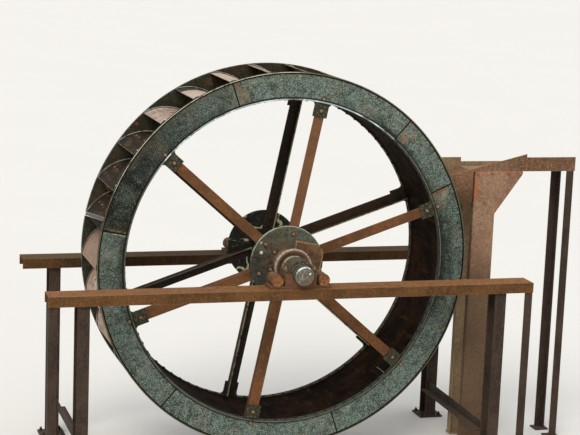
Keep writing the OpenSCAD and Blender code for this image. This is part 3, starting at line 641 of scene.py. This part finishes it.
# %% Far hub disc
f = Finish("black_paint_with_lichen_on_far_hub", "#0e0e09", "#1d1e15", patch=0.16, roughness=0.7)
hills = f.add("TexNoise", {"Vector": f.place, "Scale": 6.5, "Detail": 1.5, "Roughness": 0.5})
f.coat("#b5b18e", f.band(hills, 0.475, 0.525, 0.008), f.grain(0.12, 0.44, 0.5, seed=3), rough=0.9)
f.coat("#6b7050", f.grain(0.03, 0.58, 0.66, seed=4), amount=0.6)
dress(f.done(grit=0.008, depth=0.0015), "far_hub")

# %% Collars and clamp plate
f = WheelFinish("rusty_cast_collar", "#573f29", "#765639", patch=0.06, roughness=0.78)
f.coat("#8a6240", f.grain(0.02, 0.5, 0.66, seed=3), amount=0.7)
f.coat("#33261a", f.grain(0.025, 0.54, 0.68, seed=4), amount=0.85)
f.coat("#8a6a4e", f.band(f.radius, 0.104, 0.132, 0.003), f.grain(0.03, 0.3, 0.5, seed=10), amount=0.7)
f.coat("#9a5f30", f.band(f.radius, 0.106, 0.112, 0.003), f.grain(0.03, 0.4, 0.55, seed=11), amount=0.8)
f.coat("#b3aaa6", f.band(f.radius, 0.142, 0.1525, 0.0025), f.step(f.out, 0.515, 0.525),
       f.grain(0.012, 0.36, 0.54, seed=7), rough=0.42)
f.coat("#5d5940", f.step(f.radius, 0.105, 0.101), f.grain(0.03, 0.3, 0.5, seed=8), amount=0.85)
f.coat("#a8a39a", f.band(f.radius, 0.092, 0.102, 0.002), f.step(f.out, 0.552, 0.558),
       f.grain(0.03, 0.32, 0.46, seed=9), rough=0.45)
dress(f.done(pits=0.3), "near_collar", "far_collar")

f = Finish("tan_rust_on_clamp_plate", "#4f3923", "#73563a", patch=0.1, roughness=0.82)
f.coat("#3a2919", f.grain(0.03, 0.52, 0.66, seed=3), amount=0.7)
f.coat("#c0a67a", f.edges(0.014, 0.01, 0.08), f.grain(0.03, 0.3, 0.48, seed=4), amount=0.9)
dress(f.done(pits=0.3), "near_clamp")

# %% [markdown]
# The shaft's free end was turned on a lathe. Its face keeps fine rings and its bevel is rubbed
# bright, with a painted highlight along its upper arc, while the neck behind it is dark with old grease.

# %% Shaft
f = WheelFinish("dull_turned_steel_shaft_with_painted_highlight", "#4b4438", "#6d6656", patch=0.04, roughness=0.6, gloss=0.4)
f.coat("#7a5d40", f.grain(0.03, 0.5, 0.66, seed=3), amount=0.6, rough=0.75)
f.coat("#35302a", f.grain(0.02, 0.54, 0.66, seed=4), amount=0.7)
TURNED = 900  # sets the turned rings 7 mm apart, as a wave repeats every 2 pi
rings = f.add("Math", {0: f.radius, 1: TURNED}, operation="MULTIPLY")
rings = f.add("Math", {0: rings}, operation="SINE")
end = f.step(f.out, 0.850, 0.856)
f.coat("#35342c", end, f.grain(0.018, 0.46, 0.58, seed=6, detail=2.0), amount=0.8)
f.coat("#8b8676", end, f.grain(0.016, 0.52, 0.62, seed=7, detail=2.0), amount=0.8)
f.coat("#8a8270", f.step(rings, 0.2, 0.9), end, amount=0.3)
f.coat("#5b4636", end, f.spot(on_wheel(285, 0.035, SHAFT_END, NEAR), 0.028, 0.02, ragged=0.03), amount=0.8)
f.coat("#1f1c17", f.band(f.out, 0.822, 0.838, 0.003), amount=0.9)
f.coat("#1f1c17", f.band(f.out, 0.77, 0.79, 0.003), amount=0.8)
f.coat("#12110e", f.band(f.radius, 0.059, 0.066, 0.002), end, f.band(f.angle, 25, 185, 12), amount=0.9)
f.coat("#827b69", f.band(f.radius, 0.051, 0.056, 0.002), end, f.band(f.angle, 35, 170, 12), amount=0.7)
bevel = f.band(f.out, 0.8455, 0.8555, 0.0015)
f.coat("#6d675a", bevel, amount=0.8)
# Painted highlight on the bevel's upper arc
f.coat("#c5cbc6", bevel, f.band(f.angle, 62, 150, 14), f.grain(0.04, 0.36, 0.48, seed=5), rough=0.4)
f.coat("#dcdccb", f.spot(on_wheel(28, 0.043, SHAFT_END, NEAR), 0.005))
dress(f.done(grit=0.004, depth=0.0006), "shaft")


# %% [markdown]
# ## Frame, bearings and launder
# The rolled channels of the frame have a deep brown rust on their sides and a lighter, dusty top.
# The legs are darker. The bearings are cast iron with greasy caps. The launder's thin plates have
# an even reddish rust, brighter orange where the bracket meets the trough and water has crept
# between the plates.

# %% Frame
def frame_rust(name, dark, light, top, edge):
    """Rust on rolled sections that stand still: dust on top and runs down their sides."""
    f = Finish(name, dark, light, patch=0.3, roughness=0.85)
    f.coat(light, f.grain(0.03, 0.5, 0.66, seed=3, stretch=(1, 1, 5)), amount=0.7)
    f.coat(dark, f.grain(0.02, 0.54, 0.68, seed=4), amount=0.7)
    f.coat(top, f.facing_up(), f.grain(0.06, 0.25, 0.5, seed=7), amount=0.9)
    f.coat(dark, f.grain(0.009, 0.44, 0.62, seed=9, detail=2.0), amount=0.6)
    f.coat(edge, f.grain(0.01, 0.54, 0.68, seed=10, detail=2.0), amount=0.45)
    f.coat(edge, f.edges(0.005), f.grain(0.05, 0.35, 0.55, seed=8), amount=0.7)
    return f


f = frame_rust("bright_rust_on_near_channel", "#442a11", "#67431f", "#96663e", "#9a7344")
dress(f.done(pits=0.4), "near_beam")
f = frame_rust("brown_rust_on_far_channel", "#38230e", "#5a3b1a", "#5a4324", "#6b5230")
dress(f.done(pits=0.4), "far_beam")
f = frame_rust("dark_rust_on_legs", "#2c2118", "#45352a", "#564636", "#5f5044")
dress(f.done(pits=0.3), "near_left_leg", "near_right_leg", "far_left_leg", "far_right_leg",
      "near_end_posts", "left_tie", "right_tie", "launder_posts")
f = frame_rust("rust_on_cast_bearings", "#4a3123", "#6f4a30", "#7c6244", "#94703f")
dress(f.done(grit=0.008, pits=0.4), "near_bearing", "far_bearing")
f = frame_rust("greasy_dirt_on_bearing_caps", "#2b241b", "#4c4232", "#5d5543", "#8a8472")
dress(f.done(grit=0.008, pits=0.4), "near_bearing_cap", "far_bearing_cap")

# %% Launder
def plate_rust(name, dark, light, speck):
    """Even reddish brown rust on thin plate, finely speckled."""
    f = Finish(name, dark, light, patch=0.35, roughness=0.85)
    f.coat(speck, f.grain(0.015, 0.46, 0.62, seed=3, detail=2.0), amount=0.5)
    f.coat(dark, f.grain(0.016, 0.48, 0.62, seed=4, detail=2.0), amount=0.6)
    f.coat("#8a5a36", f.grain(0.2, 0.52, 0.66, seed=7), f.grain(0.03, 0.35, 0.6, seed=6), amount=0.5)
    f.coat("#b39c80", f.edges(0.004), f.grain(0.05, 0.3, 0.5, seed=8), amount=0.8)
    return f


f = plate_rust("brown_rust_on_launder_sides", "#5a3f2b", "#7a5a42", "#967459")
height = f.add("SeparateXYZ", {0: f.place}, out=2)
f.coat("#4a3318", f.step(height, axle.z + 0.62, axle.z + 0.42), f.grain(0.09, 0.25, 0.5, seed=9), amount=0.85)
dress(f.done(depth=0.001), "near_side", "launder_apron", "near_trough_side")
f = plate_rust("dusty_rust_on_far_side", "#7d684d", "#988060", "#ad9877")
dress(f.done(depth=0.001), "far_side", "far_bracket", "launder_floor")

# %% Near bracket
f = plate_rust("light_rust_with_orange_edges", "#735643", "#93735b", "#ab8b70")
x, _, z = f.add("SeparateXYZ", {0: f.place}).node.outputs
low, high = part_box("near_bracket")
left, top = low[0], high[2]
f.coat("#a55f3c", f.band(z, top - 0.026, top, 0.014), f.grain(0.04, 0.44, 0.56, seed=9), amount=0.85)
f.coat("#a55f3c", f.band(x, left, left + 0.022, 0.012), f.band(z, top - 0.2, top, 0.06),
       f.grain(0.04, 0.4, 0.52, seed=10), amount=0.85)
f.coat("#4a3a26", f.step(z, top - 0.5, top - 1.0), amount=0.7)
dress(f.done(depth=0.001), "near_bracket")

# %% [markdown]
# ## Bolts, nuts and rivets
# Their forged steel rusts in flakes. Every bolt of a kind looks alike, so one small mesh is made of
# each kind and copied to all its places in one piece. It has few faces, as a hundred copies of a
# fine mesh would weigh too much. Each copy is turned by a different angle, as no fitter lines up
# the corners.

# %% Bolt finishes
f = Finish("flaky_rust_on_bolts", "#705642", "#98795d", patch=0.015, roughness=0.85)
f.coat("#3f2a20", f.grain(0.006, 0.52, 0.66, seed=3), amount=0.7)
bolt_rust = f.done(grit=0.003, depth=0.0006)
f = Finish("dark_rust_on_nuts", "#211a17", "#3a2d26", patch=0.015, roughness=0.85)
f.coat("#54402f", f.grain(0.006, 0.54, 0.68, seed=3), amount=0.6)
nut_rust = f.done(grit=0.003, depth=0.0006)
f = Finish("rust_on_rivets", "#5a4838", "#85705e", patch=0.02, roughness=0.85)
rivet_rust = f.done(grit=0.003, depth=0.0006)
print("fastener finishes:", bolt_rust.name, nut_rust.name, rivet_rust.name)


# %% Small templates
def cylinder(mesh, sides, bottom, top, height, at=0.0):
    """A closed cylinder, or a cone between two radii, standing at a height."""
    bmesh.ops.create_cone(mesh, cap_ends=True, segments=sides, radius1=bottom, radius2=top, depth=height,
                          matrix=Matrix.Translation((0, 0, at + height / 2)))


def hexagon(mesh, across, height, at):
    """A hexagon with a bevelled top, standing at a height."""
    corner = across / math.sqrt(3)
    cylinder(mesh, 6, corner, corner, height, at)
    rim = [edge for edge in mesh.edges if all(v.co.z > at + height * 0.9 for v in edge.verts)]
    bmesh.ops.bevel(mesh, geom=rim, offset=across * 0.07, segments=1, profile=0.5, affect="EDGES",
                    material=-1)


def bolt_head(across, height, washer):
    """A hexagonal head on its washer."""
    mesh = bmesh.new()
    cylinder(mesh, 16, across * 0.62 * washer, across * 0.58 * washer, height * 0.25)
    hexagon(mesh, across, height, height * 0.25)
    return template(mesh)


def nut_on_bolt(across, height, out):
    """A nut with the end of its bolt standing out."""
    mesh = bmesh.new()
    hexagon(mesh, across, height, 0)
    cylinder(mesh, 10, across * 0.29, across * 0.25, out, at=height)
    return template(mesh)


def rivet_head(radius, height):
    """A low domed head, cut from a sphere."""
    mesh = bmesh.new()
    bmesh.ops.create_uvsphere(mesh, u_segments=12, v_segments=8, radius=radius)
    bmesh.ops.scale(mesh, vec=(1, 1, height / radius), verts=mesh.verts)
    cut = bmesh.ops.bisect_plane(mesh, geom=mesh.verts[:] + mesh.edges[:] + mesh.faces[:], plane_co=(0, 0, 0),
                                 plane_no=(0, 0, 1), clear_inner=True)
    bmesh.ops.contextual_create(mesh, geom=[g for g in cut["geom_cut"] if isinstance(g, bmesh.types.BMEdge)])
    return template(mesh)


def template(mesh):
    """Keeps a small mesh for copying."""
    bmesh.ops.recalc_face_normals(mesh, faces=mesh.faces)
    data = bpy.data.meshes.new("template")
    mesh.to_mesh(data)
    mesh.free()
    return data


big_bolt = bolt_head(across=0.021, height=0.012, washer=1.05)
small_bolt = bolt_head(across=0.019, height=0.010, washer=1.25)
big_nut = nut_on_bolt(across=0.024, height=0.018, out=0.010)
stud_nut = nut_on_bolt(across=0.024, height=0.019, out=0.012)
flange_nut = nut_on_bolt(across=0.024, height=0.006, out=0.002)
rivet = rivet_head(radius=0.010, height=0.006)
WASHER_T = 0.003  # thickness of an arm bolt's washer
washer = bmesh.new()
cylinder(washer, 20, 0.0195, 0.0190, WASHER_T)
washer = template(washer)
print("faces of a bolt:", len(big_bolt.polygons), "and of a rivet:", len(rivet.polygons))


# %% Copies in place
SHARP = math.radians(35)  # an edge that turns by more than this stays sharp


def piece(name, mesh, body, material):
    """Turns a bmesh into a finished piece that rides on a body."""
    data = bpy.data.meshes.new(name)
    mesh.to_mesh(data)
    mesh.free()
    data.materials.append(material)
    data.shade_smooth()
    data.set_sharp_from_angle(angle=SHARP)
    made = bpy.data.objects.new(name, data)
    scene.collection.objects.link(made)
    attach(made, body)
    print(name, "has", len(data.polygons), "faces")


def scatter(name, small, places, body, material):
    """Copies a small template to every place, as one piece."""
    turns = random.Random(len(places))
    whole = bmesh.new()
    for place in places:
        start = len(whole.verts)
        whole.from_mesh(small)
        turn = Matrix.Rotation(turns.uniform(0, math.pi), 4, "Z")
        whole.verts.ensure_lookup_table()
        bmesh.ops.transform(whole, matrix=place @ turn, verts=whole.verts[start:])
    piece(name, whole, body, material)


# %% [markdown]
# Each arm is bolted through the ring and through its lug, and through the hub disc twice, but
# under the near clamp plate there is no room for a head. Inside, each bolt ends in a nut.

# %% Arm bolts
BEHIND = rotation(180, "X")
SIDES = ((NEAR, "near"), (FAR, "far"))
RIM_BOLTS = (1.336, 1.240)  # radii of the bolts through the ring and through its lug
CLAMP_TURN = 10  # degrees that the clamp plate is turned
CLAMP_LEFT, CLAMP_TOP = -0.018, 0.216  # beyond these, a bolt is clear of the plate


def clear_of_clamp(angle, radius):
    """True where a bolt on the near disc stays clear of the clamp plate."""
    turned = math.radians(angle + CLAMP_TURN)
    across, up = radius * math.cos(turned), radius * math.sin(turned)
    return across < CLAMP_LEFT or abs(up) > CLAMP_TOP


for side, side_name in SIDES:
    hub_radii = (0.240, 0.142) if side == NEAR else (0.240, 0.182)
    heads = [on_wheel(a, r, RING_OUT, side) for a in ARMS for r in RIM_BOLTS]
    heads += [on_wheel(a, r, DISC_OUT, side) for a in ARMS for r in hub_radii
              if side == FAR or clear_of_clamp(a, r)]
    scatter(f"{side_name}_arm_washers", washer, heads, "wheel", nut_rust)
    heads = [place @ Matrix.Translation((0, 0, WASHER_T)) for place in heads]
    scatter(f"{side_name}_arm_bolts", big_bolt, heads, "wheel", bolt_rust)
    ends = [on_wheel(a, r, ARM_IN, side) @ BEHIND for a in ARMS for r in (*RIM_BOLTS, *hub_radii)
            if r > 1 or side == FAR or clear_of_clamp(a, r)]
    scatter(f"{side_name}_arm_nuts", big_nut, ends, "wheel", nut_rust)

# %% Nuts along the inner flanges
AFTER_ARM = (5.6, 9.3, 13.1, 16.8, 20.6, 24.3, 28.1, 31.9, 35.6, 39.4, 43.1, 46.9, 50.6, 54.4)
FLANGE_Y = 0.324  # middle of a ring's inner flange, from the wheel's middle plane
flange_angles = [a + s for a in ARMS for s in AFTER_ARM]
inwards = rotation(-90, "Y")
for side, side_name in SIDES:
    places = [on_wheel(a, RIM_IN_R, FLANGE_Y, side) @ inwards for a in flange_angles]
    scatter(f"{side_name}_flange_nuts", flange_nut, places, "wheel", nut_rust)

# %% [markdown]
# A row of four rivets runs across each bucket plate. Each plate is rolled about a line of its own,
# parallel to the shaft, so a rivet's place is found from the centre of that roll: first out to the
# plate's face along a radius of the roll, then turned with its bucket to the right angle.

# %% Bucket rivets
RIVET_ARC = -38  # degrees round the roll
row = [(lip, y) for lip in LIPS for y in (-0.21, -0.10, 0.10, 0.21)]
outer = [on_bucket(lip, RIVET_ARC, y, ROLL_R + PLATE_T) for lip, y in row]
inner = [on_bucket(lip, RIVET_ARC, y, ROLL_R, outside=False) for lip, y in row]
scatter("bucket_rivets", rivet, outer + inner, "wheel", rivet_rust)

# %% [markdown]
# One bucket at the left has its lip torn off the rings. It lies across the opening as a folded
# strip, with its far end still near its place and its near end some way up the rim. A cube is
# stretched to the strip's size, and an inset pushed inwards gives the fold its groove.

# %% Torn lip
far_end = on_wheel(168.8, 1.5265, -0.333, NEAR).translation
near_end = on_wheel(165.7, 1.5240, 0.333, NEAR).translation
span, middle = near_end - far_end, (far_end + near_end) / 2
along = span.normalized()
outwards = (middle - axle).normalized()
outwards = (outwards - along * outwards.dot(along)).normalized()
beside = outwards.cross(along)
strip = bmesh.new()
bmesh.ops.create_cube(strip, size=1)
bmesh.ops.scale(strip, vec=(span.length, 0.030, 0.008), verts=strip.verts)
top_face = max(strip.faces, key=lambda face: face.calc_center_median().z)
bmesh.ops.inset_region(strip, faces=[top_face], thickness=0.007)
bmesh.ops.translate(strip, vec=(0, 0, -0.005), verts=top_face.verts)
bmesh.ops.transform(strip, matrix=Matrix((along, beside, outwards)).transposed().to_4x4(), verts=strip.verts)
bmesh.ops.translate(strip, vec=middle, verts=strip.verts)
bmesh.ops.recalc_face_normals(strip, faces=strip.faces)
f = WheelFinish("worn_edge_of_torn_lip", "#b5b0a2", "#efece2", patch=0.05, roughness=0.6)
f.coat("#1d1810", f.step(f.radius, 1.5275, 1.5262), amount=0.9)
piece("torn_lip", strip, "wheel", f.done(grit=0.004))
print("length of the torn strip:", round(span.length, 3))

# %% [markdown]
# The bearings' end bosses have a raised rim round a hollow face. A short cylinder's end is inset
# and pushed in. The next cell adds the nuts on the caps and on the base plates of the legs.

# %% Boss rims
hollow = bmesh.new()
cylinder(hollow, 28, 0.047, 0.046, 0.006)
end_face = max(hollow.faces, key=lambda face: face.calc_center_median().z)
bmesh.ops.inset_region(hollow, faces=[end_face], thickness=0.011)
bmesh.ops.translate(hollow, vec=(0, 0, -0.005), verts=end_face.verts)
boss_rim = template(hollow)
f = Finish("orange_rust_on_boss_rims", "#6b4526", "#96623a", patch=0.02, roughness=0.85)
f.coat("#2b1f14", f.grain(0.02, 0.5, 0.62, seed=3), amount=0.7)
boss_rust = f.done(grit=0.004)


def on_bearing(x, z, y):
    """Puts a piece on a bearing, facing away from the wheel, by its place from the shaft's axis."""
    face = rotation(-90 if y > 0 else 90, "X")
    return Matrix.Translation(axle + Vector((x, y, z))) @ face


BOSS_X, BOSS_Y, BOSS_Z = 0.188, 0.755, -0.056
places = [on_bearing(x, BOSS_Z, y) for x in (-BOSS_X, BOSS_X) for y in (-BOSS_Y, BOSS_Y)]
scatter("boss_rims", boss_rim, places, "frame", boss_rust)

# %% Nuts on the frame
BEAM_Y = 0.680  # middle of a beam, of its bearing and of its legs
STUD_X, STUD_Y, STUD_Z = 0.1155, 0.035, 0.024
cap_nuts = [Matrix.Translation(axle + Vector((x, y + dy, STUD_Z))) for x in (-STUD_X, STUD_X)
            for y in (-BEAM_Y, BEAM_Y) for dy in (-STUD_Y, STUD_Y)]
scatter("cap_nuts", stud_nut, cap_nuts, "frame", bolt_rust)
LEG_X, FOOT_T, ANCHOR = 1.692, 0.012, 0.078
anchors = [Matrix.Translation((axle.x + x + dx, y + dy, FOOT_T)) for x in (-LEG_X, LEG_X)
           for y in (-BEAM_Y, BEAM_Y) for dx in (-ANCHOR, ANCHOR) for dy in (-ANCHOR, ANCHOR)]
scatter("anchor_nuts", stud_nut, anchors, "frame", nut_rust)

# %% [markdown]
# A few small bolts hold the launder's plates to the bracket legs. On the shaft, the end of the
# wedge that holds the near collar stands out beside the ring.

# %% Bolts on the launder
LAUNDER_OUT = 0.150  # outer face of the bracket legs
BELOW_TOP = 0.018
plate_bolts = [on_bearing(left - axle.x + dx, top - axle.z - BELOW_TOP, y)
               for y in (-LAUNDER_OUT, LAUNDER_OUT) for dx in (0.022, 0.155, 0.300, 0.400)]
scatter("launder_bolts", small_bolt, plate_bolts, "frame", bolt_rust)
single = [on_bearing(1.764, 0.428, -LAUNDER_OUT)]
scatter("bracket_bolt", big_bolt, single, "frame", bolt_rust)

# %% Wedge beside the ring
wedge = bmesh.new()
bmesh.ops.create_cube(wedge, size=1)
bmesh.ops.scale(wedge, vec=(0.016, 0.030, 0.038), verts=wedge.verts)
bmesh.ops.bevel(wedge, geom=wedge.edges[:], offset=0.002, segments=1, profile=0.5, affect="EDGES",
                material=-1)
bmesh.ops.transform(wedge, matrix=on_wheel(150, 0.0855, 0.579, NEAR), verts=wedge.verts)
piece("near_wedge", wedge, "wheel", bolt_rust)

# %% [markdown]
# ## Last pieces
# The floor isn't part of the object. It is pale and plain, and so large that its edge never shows.

# %% Floor
FLOOR_HALF = 150
mesh = bmesh.new()
bmesh.ops.create_grid(mesh, x_segments=2, y_segments=2, size=FLOOR_HALF)
data = bpy.data.meshes.new("floor")
mesh.to_mesh(data)
mesh.free()
floor = bpy.data.objects.new("floor", data)
floor.location.z = -0.001
scene.collection.objects.link(floor)
f = Finish("pale_plain_floor", "#e1dfda", "#e2e0db", patch=3.0, roughness=0.9)
data.materials.append(f.done(depth=0.0))
print("floor is", 2 * FLOOR_HALF, "m wide")
